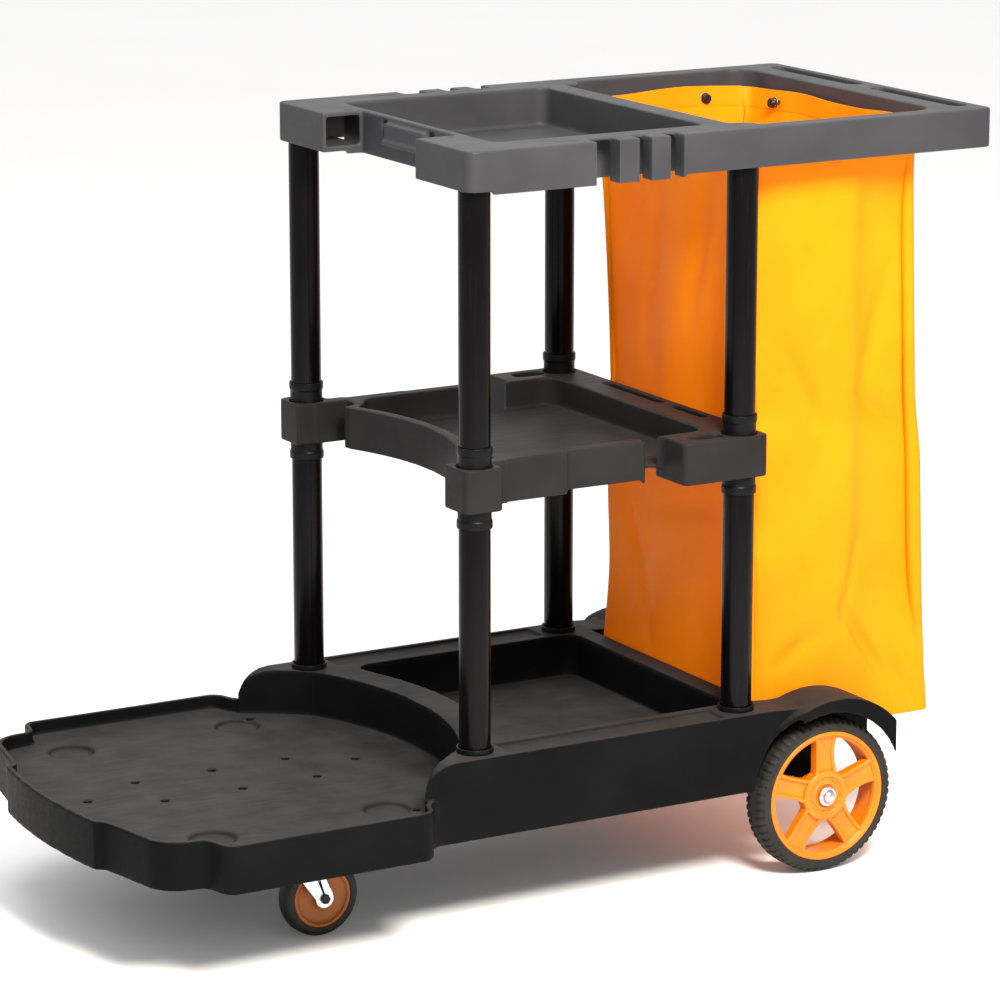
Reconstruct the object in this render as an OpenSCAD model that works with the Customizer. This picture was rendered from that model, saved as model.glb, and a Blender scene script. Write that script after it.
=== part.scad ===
// Housekeeping cart: a moulded base with a front platform, a middle shelf and a top tray on four
// tube posts, two wheels on a through axle at the back, two swivel casters at the front, and a
// hanging bag inside the frame of the top tray. +X points to the handle, -Y is the near side,
// +Z is up, and the origin lies on the floor under the middle of the whole cart.

/* [Posts] */
// Centre of the front posts along the cart
post_front_x = -128; // [-130:0.5:-126]
// Centre of the rear posts along the cart
post_rear_x = 251; // [250:0.5:252]
// Distance of the posts from the middle plane
post_y = 222; // [221:0.5:223]
// Outside diameter of the post tubes
post_d = 39; // [37:0.5:39.5]
// Wall of the post tubes
post_wall = 2; // [1.5:0.1:3]

/* [Base] */
// Front of the platform
front_x = -608; // [-612:1:-604]
// Half width of the base at its side skirts
base_half_w = 256; // [255:0.5:257]
// Half width of the platform
platform_half_w = 301; // [298:1:304]
// Lower edge of the skirts
base_bottom = 124; // [122:0.5:125]
// Top of the platform's rim
rim_top = 185; // [183:0.5:188]
// Top of the platform's deck
deck_top = 167; // [165:0.5:169]
// Top of the base around its basin
base_top = 226.6; // [225:0.2:228]
// Floor of the basin in the base
pocket_floor = 170; // [168:0.5:174]
// Thickness of the moulded walls
wall = 4; // [3.5:0.1:4.5]
// Radius of the drain holes in the deck
drain_r = 5; // [3:0.5:6]

/* [Middle shelf] */
// Top of the middle shelf's rim
shelf_top = 585; // [583:0.5:587]
// Lower edge of the middle shelf
shelf_bottom = 531; // [529:0.5:533]
// Floor of the middle shelf
shelf_floor = 548; // [546:0.5:552]

/* [Top tray] */
// Top of the tray and of the rear handle
tray_top = 971; // [969:0.5:973]
// Lower edge of the tray's rails
rail_bottom = 921; // [919:0.5:923]
// Lower edge of the tray's deep front part
tray_bottom = 917; // [915:0.5:918]
// Rear end of the handle
tray_rear_x = 608; // [604:1:612]
// Front of the tray's corner blocks
tray_front_x = -152; // [-153:0.5:-151]
// Half width of the tray
tray_half_w = 252; // [251:0.5:253]

/* [Rear wheels] */
// Radius of the rear wheels
wheel_r = 101.6; // [100:0.2:103]
// Centre of the rear wheels along the cart
axle_x = 370; // [369:0.5:371]
// Outside face of the rear wheels
wheel_face_y = 256; // [255:0.5:257]
// Width of the rear wheels
wheel_w = 42; // [38:1:43]
// Radius of the rear axle
axle_r = 6; // [5:0.5:7]
// Number of spokes
spokes = 5; // [4:1:6]
// Width of a spoke
spoke_w = 28; // [22:1:30]
// Radius of the hub's disc
hub_r = 31; // [26:1:34]

/* [Casters] */
// Radius of the caster wheels
caster_r = 50.8; // [49:0.2:51]
// Width of the caster wheels
caster_w = 28; // [24:1:30]
// Swivel axis of the casters along the cart
pivot_x = -346; // [-350:1:-340]
// Distance of the casters from the middle plane
caster_y = 148; // [144:1:150]
// Trail of the caster wheel behind its swivel axis
trail = 38; // [34:1:40]

/* [Bag] */
// Top edge of the bag
bag_top = 953; // [945:1:956]
// Bottom seam of the bag
bag_bottom = 175; // [170:1:185]
// Thickness of the bag's wall
bag_wall = 3; // [2:0.5:4]

/* [Hidden] */
$fn = 96;
eps = 0.01;
gap = 0.05;               // free radius between a shaft or tube and its hole
post_r = post_d / 2;
axle_z = wheel_r;

// Heights of the post joints
post_foot = pocket_floor + 2;
sleeve_low = 508.6;
sleeve_high = 609.4;
post_joint = 559;
post_head = tray_top - 13;
sleeve_r = 22;
ring_top = base_top + 7;
ring_r = 23;
socket_r = 24;            // of the round sockets that hold the posts in the mouldings

// Ribs under the mouldings
rib_t = 3;
rib_bottom = 132;
shelf_rib_bottom = shelf_bottom + 3;

// Round dishes and drain holes in the deck
dish_x = [-477, -242];
dish_y = 206;
dish_r = 31;
dish_depth = 6;
drain_x = [-463, -357, -254];
drain_y = 43.5;
middle_drain_x = [-547, -177];
corner_drain = [-213, 227];
drain_spout = 9;

// Front of the base: the concave wall is a circle, and its shoulders are quarter rounds
front_wall_r = 416;
front_wall_x = -86;
front_wall_cx = front_wall_x - front_wall_r;
shoulder_r = 44;
shoulder_x = -218;
rear_wall_x = 290;

// Fender: an arch a little behind and above the axle
fender_x = axle_x + 5;
fender_z = axle_z + 11.4;
fender_r = 121;
fender_in_r = 115.5;
fender_lip_r = 100;       // of the lip that covers the top of the wheel from outside
fender_end_x = 465;
fender_face_y = 273;
well_y = 207;

// Caster heights, from the plate down
plate_top = base_bottom + 3;
plate_t = 3;
race_h = 8;
crown_top = plate_top - plate_t - race_h - 0.4;
crown_t = 5;
fork_gap = caster_w / 2 + 2.5;
fork_t = 3;
caster_axle_r = 5;
kingpin_r = 6;
screw_hole_r = 3.7;

// Rear wheels
hub_core_r = 19;
washer_t = 2.2;
rim_r = 85;
rim_seat_r = 83;

function arc(cx, cy, r, a0, a1, n) =
  [for (i = [0:n]) let (a = a0 + (a1 - a0) * i / n) [cx + r * cos(a), cy + r * sin(a)]];
function flip(pts) = [for (i = [len(pts) - 1:-1:0]) [pts[i][0], -pts[i][1]]];
function unit(v) = v / norm(v);
function edge_normal(a, b) = let (u = unit(b - a)) [-u[1], u[0]];
// Moves every edge of an anticlockwise outline inwards by d
function inset(pts, d) =
  let (n = len(pts))
  [for (i = [0:n - 1])
    let (p = pts[i], n1 = edge_normal(pts[(i + n - 1) % n], p), n2 = edge_normal(p, pts[(i + 1) % n]))
    p + d * (n1 + n2) / (1 + n1 * n2)];

// Outline of the platform, far half from the front to the base
platform_half = concat(
  [for (y = [0:22:132]) [front_x + 853 - sqrt(853 * 853 - y * y), y]],
  [[-590, 136], [-587, 141], [-581, 168]],
  arc(-527, 213, 45, 170, 92, 9),
  [[-516, 260], [-511, 266], [-508, 276]],
  arc(-488, platform_half_w - 18, 18, 165, 92, 5),
  [[-440, platform_half_w]],
  arc(-244, platform_half_w - 26, 26, 90, 35, 5),
  [[-216, 272]],
  arc(-190, 284, 28, 205, 268, 5),
  [[-79, base_half_w]]);
platform_outline = concat(flip(platform_half), [for (i = [1:len(platform_half) - 1]) platform_half[i]]);
// It runs clockwise from the near side of the base, so it is turned round
function turned(pts) = [for (i = [len(pts) - 1:-1:0]) pts[i]];
platform_plan = turned(platform_outline);

// Plan of the tall part of the base, clockwise from the near end of its front wall, and turned round
body_plan = concat(
  arc(front_wall_cx, 0, front_wall_r, -28, 28, 28),
  [[-152, 210], [-172, 226], [-194, 240], [shoulder_x, base_half_w]],
  [[rear_wall_x, base_half_w], [rear_wall_x, -base_half_w]],
  [[shoulder_x, -base_half_w], [-194, -240], [-172, -226], [-152, -210]]);
body_plan_ccw = turned(body_plan);

// Basin in the base, with its front edge parallel to the front wall
pocket_plan = concat(
  arc(238, 174, 20, 0, 90, 6),
  arc(-54, 174, 20, 90, 165, 6),
  arc(front_wall_cx, 0, front_wall_r + 46, 19, -19, 20),
  arc(-54, -174, 20, 195, 270, 6),
  arc(238, -174, 20, 270, 360, 6));

// Middle shelf, far half from the middle of its front
shelf_front_r = 350;
shelf_front_cx = -75 - shelf_front_r;
shelf_half = concat(
  arc(shelf_front_cx, 0, shelf_front_r, 0, 24.5, 12),
  arc(-99, 154, 8, 215, 90, 6),
  arc(-99, 177, 15, -80, 0, 5),
  arc(-76, 204, 8, 180, 90, 4),
  [[8, 212], [8, 209], [120, 209]]);
shelf_plan = concat(
  flip(turned(shelf_half)), [[279, -209], [279, 209]],
  [for (i = [len(shelf_half) - 1:-1:1]) shelf_half[i]]);
shelf_basin_plan = concat(
  arc(197, 164, 25, 0, 90, 6),
  arc(-46, 164, 25, 90, 158, 5),
  arc(shelf_front_cx, 0, shelf_front_r + 17, 24, -24, 20),
  arc(-46, -164, 25, 202, 270, 5),
  arc(197, -164, 25, 270, 360, 6));

// Top tray
basin_x = [-85, 212];
basin_half_w = 195;
basin_floor = tray_bottom + 4;
frame_x = [246, 540];
frame_half_w = 222;
recess_x = -97;
recess_half_w = 120;
notches = [[24, 56], [85, 101], [128, 147]];
notch_y = 228;
notch_rib = 3;
grip_x = [574, 596];
grip_y = [18, 216];

// Bag: plan at the top and at the bottom
bag_high = [272, 526, 205];
bag_low = [300, 562, 191];
hook_z = 938;
hooks_side_x = 463;
hooks_rear_y = 120;
hooks_front_y = 100;
hook_r = 3;
hook_reach = [24, 22, 34];     // side, rear and front hooks

near_far = [-1, 1];

module box(a, b) { translate(a) cube(b - a); }
module slab(z0, z1) { translate([0, 0, z0]) linear_extrude(z1 - z0) children(); }
module both_sides() { children(); mirror([0, 1, 0]) children(); }
module at_posts() {
  for (x = [post_front_x, post_rear_x], s = near_far) translate([x, s * post_y, 0]) children();
}
module along_y(y0, y1) { translate([0, y1, 0]) rotate([90, 0, 0]) linear_extrude(y1 - y0) children(); }
module round_rect(x0, x1, w, r) {
  union() {
    translate([x0 + r, -w]) square([x1 - x0 - 2 * r, 2 * w]);
    translate([x0, -w + r]) square([x1 - x0, 2 * w - 2 * r]);
    for (x = [x0 + r, x1 - r], y = [-w + r, w - r]) translate([x, y]) circle(r);
  }
}

// ---- base ----
// Side view of the tall part: d is how far inside the outer skin
module body_side(d) {
  translate([shoulder_x + shoulder_r, base_bottom - 1]) square([600, base_top - base_bottom + 1 - d]);
  translate([shoulder_x + d, base_bottom - 1])
    square([shoulder_r, base_top - shoulder_r - base_bottom + 1]);
  translate([shoulder_x + shoulder_r, base_top - shoulder_r]) circle(shoulder_r - d);
}
module body_block(d, z0, z1) {
  intersection() {
    slab(z0, z1) polygon(d > 0 ? inset(body_plan_ccw, d) : body_plan_ccw);
    along_y(-400, 400) body_side(d);
  }
}
// Top line of the cheeks that lead from the base up to the fender
module cheek_side() {
  polygon([[240, base_bottom], [240, base_top], [rear_wall_x, base_top], [312, 224.5], [334, 225.6],
           [352, 231.5], [fender_x, fender_z + fender_r - 0.1], [fender_x, fender_z],
           [fender_x - fender_in_r, base_bottom]]);
}
module inner_wall_side() {
  polygon([[240, base_bottom], [240, base_top], [rear_wall_x, base_top], [312, 224.5], [334, 225.6],
           [352, 231.5], [fender_x, fender_z + fender_r - 0.1], [400, 230], [fender_end_x, 180],
           [fender_end_x, 162], [405, 158], [392, 118], [348, 118], [330, base_bottom]]);
}
module fender_ring(r0, r1, y0, y1) {
  intersection() {
    translate([fender_x, 0, fender_z]) rotate([90, 0, 0])
      difference() {
        translate([0, 0, y0]) cylinder(h = y1 - y0, r = r1);
        translate([0, 0, y0 - 1]) cylinder(h = y1 - y0 + 2, r = r0);
      }
    // Its front end tapers into the side of the base
    slab(fender_z + 37, 400) polygon([
      [288, -190], [288, -base_half_w - 0.5], [330, -fender_face_y - 1],
      [fender_end_x, -fender_face_y - 1], [fender_end_x, -190]]);
  }
}
module wheel_side() {
  difference() {
    translate([0, -well_y, 0]) mirror([0, 1, 0]) along_y(0, base_half_w - well_y) cheek_side();
    translate([fender_x, 0, fender_z]) rotate([90, 0, 0])
      translate([0, 0, well_y]) cylinder(h = 100, r = fender_in_r);
    box([fender_x - fender_in_r, -400, 0], [500, -well_y, fender_z]);
  }
  fender_ring(fender_in_r, fender_r, well_y - 8, fender_face_y);
  difference() {
    fender_ring(fender_lip_r - 10, fender_r, fender_face_y - 4, fender_face_y);
    translate([fender_x - 10, -fender_face_y - 10, fender_z - 4]) rotate([-90, 0, 0])
      cylinder(h = 20, r = fender_lip_r + 7);
  }
  translate([0, -well_y + 8, 0]) mirror([0, 1, 0]) along_y(0, 8) inner_wall_side();
  on_axle() translate([0, 0, well_y - 12]) cylinder(h = 14, r = 18);
}
module caster_boss(s) {
  box([pivot_x - 54, s * caster_y - 40, plate_top], [pivot_x + 54, s * caster_y + 40, deck_top - wall]);
}
module deck_ribs() {
  for (x = [-540, -470, -270]) box([x, -240, rib_bottom], [x + rib_t, 240, deck_top - wall]);
  for (y = [-240, -80, 77, 237]) box([-540, y, rib_bottom], [-200, y + rib_t, deck_top - wall]);
}
module pocket_ribs() {
  for (x = [-40, 50, 140, 230]) box([x, -250, rib_bottom], [x + rib_t, 250, pocket_floor - wall]);
  for (y = [-90, 87]) box([-90, y, rib_bottom], [286, y + rib_t, pocket_floor - wall]);
}
module at_dishes() { for (x = dish_x, s = near_far) translate([x, s * dish_y, deck_top]) children(); }
// Upright cylinders where the deck drains: the holes, and the short spouts round them
module drains(z0, z1, r) {
  places = concat(
    [for (x = drain_x, s = near_far) [x, s * drain_y]],
    [for (x = middle_drain_x) [x, 0]],
    [for (s = near_far) [corner_drain[0], s * corner_drain[1]]]);
  for (p = places) translate([p[0], p[1], z0]) cylinder(h = z1 - z0, r = r);
}
module base() {
  color("#2b2b2e")
  difference() {
    union() {
      difference() {
        slab(base_bottom, rim_top) polygon(platform_plan);
        slab(deck_top, rim_top + 1) polygon(inset(platform_plan, 7));
        slab(base_bottom - 1, deck_top - wall) polygon(inset(platform_plan, wall));
      }
      difference() {
        body_block(0, base_bottom, base_top);
        body_block(wall, base_bottom - 1, base_top - 11);
        box([fender_x - fender_in_r - 4, well_y, 0], [400, 400, 400]);
        box([fender_x - fender_in_r - 4, -400, 0], [400, -well_y, 400]);
      }
      both_sides() wheel_side();
      slab(pocket_floor - wall, base_top - 5) polygon(inset(pocket_plan, -wall));
      at_posts() translate([0, 0, pocket_floor - wall])
        cylinder(h = base_top - pocket_floor + wall, r = socket_r);
      for (s = near_far) caster_boss(s);
      at_dishes() translate([0, 0, -dish_depth - 3]) cylinder(h = 5.5, r = dish_r + 2);
      drains(deck_top - wall - drain_spout, deck_top - 1, drain_r + 3);
      deck_ribs();
      intersection() { pocket_ribs(); body_block(wall / 2, base_bottom, base_top - 5); }
    }
    slab(pocket_floor, base_top + 1) polygon(pocket_plan);
    // Shallow steps beside the basin
    for (s = near_far) translate([0, s * 228, 0]) box([-92, -20, base_top - 4], [218, 20, base_top + 1]);
    at_posts() translate([0, 0, post_foot]) cylinder(h = 100, r = post_r + gap);
    at_dishes() translate([0, 0, -dish_depth]) cylinder(h = dish_depth + eps, r1 = dish_r - 6, r2 = dish_r);
    drains(100, 200, drain_r);
    translate([axle_x, 400, axle_z]) rotate([90, 0, 0]) cylinder(h = 800, r = axle_r + gap);
    for (s = near_far) translate([pivot_x, s * caster_y, 0]) screw_places()
      translate([0, 0, plate_top - 1]) cylinder(h = 30, r = screw_hole_r);
  }
}

// ---- middle shelf ----
module long_hole(a, b, r) {
  for (p = [a, b]) translate(p) circle(r);
  translate([a[0], a[1] - r]) square([b[0] - a[0], 2 * r]);
}
module long_hole_y(a, b, r) {
  for (p = [a, b]) translate(p) circle(r);
  translate([a[0] - r, a[1]]) square([2 * r, b[1] - a[1]]);
}
module shelf_block_plan() {
  difference() {
    translate([155, -248]) square([124, 70]);
    translate([155, -248]) square([9, 9]);
    translate([270, -248]) square([9, 9]);
  }
  translate([164, -239]) circle(9);
  translate([270, -239]) circle(9);
}
module collar_plan() {
  translate([post_front_x - 27, -post_y - 18]) square([54, 45]);
  translate([post_front_x - 18, -post_y - 27]) square([36, 54]);
  for (x = [-18, 18]) translate([post_front_x + x, -post_y - 18]) circle(9);
  translate([post_front_x, -216]) square([50, 22]);
}
module mid_shelf() {
  color("#2e2c2d")
  difference() {
    union() {
      difference() {
        slab(shelf_bottom, shelf_top) polygon(shelf_plan);
        slab(shelf_bottom - 1, shelf_floor - wall) polygon(inset(shelf_plan, wall));
      }
      both_sides() slab(shelf_bottom, shelf_top) { shelf_block_plan(); collar_plan(); }
      for (x = [0, 90]) box([x, -186, shelf_rib_bottom], [x + rib_t, 186, shelf_floor - 1]);
      for (y = [-70, 67]) box([-79.5, y, shelf_rib_bottom], [250, y + rib_t, shelf_floor - 1]);
    }
    slab(shelf_floor, shelf_top + 1) polygon(shelf_basin_plan);
    both_sides() {
      slab(shelf_bottom - 1, shelf_top + 1) {
        translate([138.6, -202]) circle(16.6);
        translate([122, -260]) square([33.2, 58]);
      }
      slab(shelf_bottom - 1, shelf_top + 1) long_hole([190, -221], [216, -221], 11);
      box([10, -260, shelf_bottom - 1], [118, -200, shelf_bottom + 5]);
    }
    at_posts() translate([0, 0, shelf_bottom - 1]) cylinder(h = 100, r = sleeve_r + gap);
    slab(shelf_bottom - 1, shelf_top + 1) {
      long_hole_y([264, -15], [264, 117], 6);
      long_hole_y([264, -117], [264, -45], 6);
    }
  }
}

// ---- top tray ----
module tray_plan(d) {
  difference() {
    round_rect(tray_front_x + d, tray_rear_x - d, tray_half_w - d, 14 - d);
    translate([tray_front_x - 1, -recess_half_w - d])
      square([recess_x - tray_front_x + 1 + d, 2 * (recess_half_w + d)]);
  }
}
module basin_plan(d) { round_rect(basin_x[0] - d, basin_x[1] + d, basin_half_w + d, 14 + d); }
module frame_plan(d) { round_rect(frame_x[0] - d, frame_x[1] + d, frame_half_w + d, 34 + d); }
// The two grip slots, d wider all round
module grip_plan(d) {
  r = (grip_x[1] - grip_x[0]) / 2;
  for (s = [0, 1]) mirror([0, s])
    long_hole_y([grip_x[0] + r, grip_y[0] + r], [grip_x[0] + r, grip_y[1] - r], r + d);
}
// The notches, d wider at each side and back deeper
module notch_plan(d, back) {
  for (n = notches) translate([n[0] - d, -tray_half_w - 5])
    square([n[1] - n[0] + 2 * d, tray_half_w + 5 - notch_y + back]);
}
module top_tray() {
  color("#4a4a4c")
  difference() {
    union() {
      difference() {
        slab(rail_bottom, tray_top) tray_plan(0);
        slab(rail_bottom - 1, tray_top - wall) tray_plan(wall);
      }
      slab(tray_bottom, tray_top - 1) basin_plan(wall);
      intersection() {
        slab(tray_bottom, rail_bottom + 1) difference() { tray_plan(0); tray_plan(wall); }
        box([-118, -300, 900], [150, 300, 1000]);
      }
      slab(rail_bottom, tray_top - 1) frame_plan(wall);
      slab(rail_bottom, tray_top - 1) grip_plan(3);
      both_sides() intersection() {
        slab(tray_bottom, tray_top - 1) notch_plan(notch_rib, 0);
        slab(tray_bottom, tray_top) tray_plan(0);
      }
      at_posts() translate([0, 0, rail_bottom]) cylinder(h = tray_top - rail_bottom - 1, r = socket_r);
      // Floors of the pockets that open into the front recess
      both_sides()
        box([tray_front_x + 1, -200, rail_bottom + 4], [recess_x + 1, -recess_half_w - 1, rail_bottom + 7]);
      // Rim of the front bracket with its ledge
      box([recess_x - 12, -50, 938], [recess_x + 1, 50, 943]);
      box([recess_x - 8, -50, 938], [recess_x + 1, 50, 964]);
    }
    slab(basin_floor, tray_top + 1) basin_plan(0);
    difference() {
      slab(rail_bottom - 10, tray_top + 1) frame_plan(0);
      at_posts() translate([0, 0, rail_bottom]) cylinder(h = tray_top - rail_bottom, r = socket_r);
    }
    slab(rail_bottom - 1, tray_top + 1) grip_plan(0);
    both_sides() {
      slab(tray_bottom - 1, tray_top + 1) notch_plan(0, 0);
      slab(tray_bottom - 1, tray_top - wall) notch_plan(0, 5);
    }
    at_posts() translate([0, 0, rail_bottom - 5])
      cylinder(h = post_head - rail_bottom + 5, r = post_r + gap);
    both_sides() {
      box([-148, -126, rail_bottom + 8], [-101, -116, tray_top - wall - 1]);
      box([recess_x - 20, -67, 944], [recess_x + 6, -53, 966]);
      box([-25, -233, tray_top - 2], [12, -227, tray_top + 1]);
      translate([-110, -133, tray_top - 6]) cylinder(h = 10, r = 4);
    }
    all_hook_places() translate([0, 0, -10]) cylinder(h = 12, r = hook_r + gap);
  }
}

// ---- posts, sleeves and foot rings ----
module tube(z0, z1, r_out, r_in) {
  translate([0, 0, z0]) difference() {
    cylinder(h = z1 - z0, r = r_out);
    translate([0, 0, -1]) cylinder(h = z1 - z0 + 2, r = r_in);
  }
}
module at_post(x, s) { translate([x, s * post_y, 0]) children(); }
module lower_post(x, s) {
  color("#0c0b0d") at_post(x, s) tube(post_foot, post_joint - 1, post_r, post_r - post_wall);
}
module upper_post(x, s) {
  color("#0c0b0d") at_post(x, s) tube(post_joint + 1, post_head - 1, post_r, post_r - post_wall);
}
module shelf_sleeve(x, s) {
  color("#141315") at_post(x, s) tube(sleeve_low, sleeve_high, sleeve_r, post_r + gap);
}
module foot_ring(x, s) {
  color("#141315") at_post(x, s) tube(base_top, ring_top, ring_r, post_r + gap);
}

// ---- bag ----
module bag_section(z, size, d) {
  translate([0, 0, z]) linear_extrude(1) round_rect(size[0] + d, size[1] - d, size[2] - d, 30 - d);
}
module bag_form(d, z0, z1) {
  hull() { bag_section(z0, bag_low, d); bag_section(z1 - 1, bag_high, d); }
}
// The hooks stand on the inside of the tray's frame, and +Z points into the bag
module side_hook_places() {
  for (s = near_far) translate([hooks_side_x, s * frame_half_w, hook_z]) rotate([s * 90, 0, 0]) children();
}
module rear_hook_places() {
  for (s = near_far) translate([frame_x[1], s * hooks_rear_y, hook_z]) rotate([0, -90, 0]) children();
}
module front_hook_places() {
  for (s = near_far) translate([frame_x[0], s * hooks_front_y, hook_z]) rotate([0, 90, 0]) children();
}
module all_hook_places() {
  side_hook_places() children();
  rear_hook_places() children();
  front_hook_places() children();
}
module bag() {
  color("#f7b21c")
  difference() {
    bag_form(0, bag_bottom, bag_top, $fn = 24);
    bag_form(bag_wall, bag_bottom + bag_wall, bag_top + 2, $fn = 24);
    all_hook_places() cylinder(h = 40, r = hook_r + 2, $fn = 16);
  }
}
module hook(reach) {
  translate([0, 0, -4]) cylinder(h = reach + 4, r = hook_r);
  translate([0, 0, reach - eps]) cylinder(h = 5, r1 = 7.5, r2 = 6);
}
module bag_hooks() {
  color("#151416") {
    side_hook_places() hook(hook_reach[0]);
    rear_hook_places() hook(hook_reach[1]);
    front_hook_places() hook(hook_reach[2]);
  }
}
// An eyelet lies on the bag's outside, just short of the hook's head
module eyelet(reach) { tube(reach - 3, reach - 2, 8, hook_r + 2.2); }
module bag_eyelets() {
  color("#8a8780") {
    side_hook_places() eyelet(hook_reach[0] + 0.2);
    rear_hook_places() eyelet(hook_reach[1] - 0.8);
    front_hook_places() eyelet(hook_reach[2] - 0.8);
  }
}

// ---- rear axle and wheels ----
module on_axle() { translate([axle_x, 0, axle_z]) rotate([90, 0, 0]) children(); }
module rear_axle() {
  color("#b9bcc0") on_axle() translate([0, 0, -wheel_face_y - 5])
    cylinder(h = 2 * wheel_face_y + 10, r = axle_r);
}
module axle_washers() {
  color("#b9bcc0") on_axle() both_ends()
    tube(well_y + washer_t, well_y + 2 * washer_t, 13, axle_r + gap);
}
module both_ends() { children(); rotate([180, 0, 0]) children(); }
module axle_cap(s) {
  color("#c4c7ca") on_axle() rotate([s < 0 ? 0 : 180, 0, 0]) translate([0, 0, wheel_face_y + 1])
    difference() {
      rotate_extrude() polygon([[0, -0.6], [13, -0.6], [13, 1.6], [9.5, 4], [8, 7], [5, 8.6], [0, 9]]);
      translate([0, 0, -1]) cylinder(h = 5.2, r = axle_r + gap);
    }
}
// Rim, hub core, hub disc and spokes; the profile gives radius and distance from the middle plane
module rear_wheel(s) {
  inner = wheel_face_y - wheel_w;
  color("#ef9a1e") on_axle() rotate([s < 0 ? 0 : 180, 0, 0])
    difference() {
      union() {
        rotate_extrude() polygon([
          [76, inner + 3], [rim_r, inner + 3], [rim_r, inner + 6], [rim_seat_r, inner + 8],
          [rim_seat_r, wheel_face_y - 6], [rim_r, wheel_face_y - 4], [rim_r, wheel_face_y - 1.5],
          [76, wheel_face_y - 1.5], [76, wheel_face_y - 6], [78, wheel_face_y - 9], [78, inner + 6],
          [76, inner + 5]]);
        translate([0, 0, inner - 0.8]) cylinder(h = wheel_w - 1, r = hub_core_r);
        translate([0, 0, wheel_face_y - 21]) cylinder(h = 18.4, r = hub_r);
        for (i = [0:spokes - 1]) rotate([0, 0, 90 + i * 360 / spokes])
          translate([10, -spoke_w / 2, wheel_face_y - 19]) cube([69.5, spoke_w, 14]);
      }
      translate([0, 0, inner - 2]) cylinder(h = wheel_w + 10, r = axle_r + gap);
      translate([0, 0, wheel_face_y - 3]) cylinder(h = 10, r = 14);
    }
}
module rear_tyre(s) {
  inner = wheel_face_y - wheel_w;
  color("#2d2926") on_axle() rotate([s < 0 ? 0 : 180, 0, 0])
    rotate_extrude() polygon([
      [rim_seat_r + gap, inner + 8], [rim_r + gap, inner + 6], [rim_r + gap, inner + 1],
      [92, inner], [98, inner + 2.5], [wheel_r, inner + 8],
      [wheel_r, wheel_face_y - 8], [98, wheel_face_y - 2.5], [92, wheel_face_y],
      [rim_r + gap, wheel_face_y - 1], [rim_r + gap, wheel_face_y - 4],
      [rim_seat_r + gap, wheel_face_y - 6]]);
}

// ---- casters ----
module at_pivot(s) { translate([pivot_x, s * caster_y, 0]) children(); }
module at_caster_axle(s) {
  translate([pivot_x + trail, s * caster_y, caster_r]) rotate([90, 0, 0]) children();
}
module screw_places() { for (x = [-38, 38], y = [-25, 25]) translate([x, y, 0]) children(); }
module caster_plate(s) {
  color("#c8cccd") at_pivot(s) difference() {
    slab(plate_top - plate_t, plate_top) round_rect(-48, 48, 34, 8);
    screw_places() translate([0, 0, plate_top - 10]) cylinder(h = 20, r = 4.2);
    translate([0, 0, plate_top - 10]) cylinder(h = 20, r = kingpin_r + gap);
  }
}
module caster_race(s) {
  color("#b4b8ba") at_pivot(s) translate([0, 0, plate_top - plate_t - race_h])
    rotate_extrude() polygon([
      [kingpin_r + gap, 0], [24, 0], [26, 3], [24, race_h - 1], [21, race_h], [kingpin_r + gap, race_h]]);
}
module caster_kingpin(s) {
  color("#9da1a4") at_pivot(s) {
    translate([0, 0, crown_top - crown_t - 4])
      cylinder(h = plate_top - crown_top + crown_t + 4, r = kingpin_r);
    translate([0, 0, crown_top - crown_t - 5]) cylinder(h = 4.6, r = 10);
  }
}
module caster_screws(s) {
  color("#b9bcc0") at_pivot(s) screw_places() {
    translate([0, 0, plate_top - plate_t - 4]) cylinder(h = 4, r1 = 6, r2 = 7);
    translate([0, 0, plate_top - plate_t - eps]) cylinder(h = 26, r = 3.6);
  }
}
module leg_side() {
  polygon([[-21, crown_top], [21, crown_top], [trail + 11, caster_r + 6], [trail + 11, caster_r],
           [trail - 12, caster_r]]);
  translate([trail, caster_r]) circle(12);
}
module caster_fork(s) {
  color("#cfd6d9") at_pivot(s) difference() {
    union() {
      translate([0, 0, crown_top - crown_t]) cylinder(h = crown_t, r = 24);
      for (k = near_far) translate([0, k * (fork_gap + fork_t / 2), 0])
        along_y(-fork_t / 2, fork_t / 2) leg_side();
    }
    translate([0, 0, crown_top - 20]) cylinder(h = 40, r = kingpin_r + gap);
    translate([trail, 100, caster_r]) rotate([90, 0, 0]) cylinder(h = 200, r = caster_axle_r + gap);
  }
}
module caster_bolt(s) {
  reach = fork_gap + fork_t;
  color("#2a2c2d") at_caster_axle(s) {
    translate([0, 0, -reach - 9]) cylinder(h = 2 * reach + 9, r = caster_axle_r);
    translate([0, 0, reach + 0.1]) cylinder(h = 3.5, r = 6.5, $fn = 6);
    translate([0, 0, reach - 1]) cylinder(h = 2, r = caster_axle_r);
  }
}
module caster_nut(s) {
  reach = fork_gap + fork_t;
  color("#a5a9ab") at_caster_axle(s) translate([0, 0, -reach - 6.1]) difference() {
    cylinder(h = 6, r = 8.5, $fn = 6);
    translate([0, 0, -1]) cylinder(h = 8, r = caster_axle_r + gap);
  }
}
module caster_wheel(s) {
  h = caster_w / 2;
  color("#d8841f") at_caster_axle(s) rotate_extrude() polygon([
    [caster_axle_r + gap, -h - 2], [12, -h - 2], [13, -h + 6], [33, -h + 4], [35, -h + 1], [38.5, -h + 1],
    [38.5, -h + 3], [37, -h + 4], [37, h - 4], [38.5, h - 3], [38.5, h - 1], [35, h - 1], [33, h - 4],
    [13, h - 6], [12, h + 2], [caster_axle_r + gap, h + 2]]);
}
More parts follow.
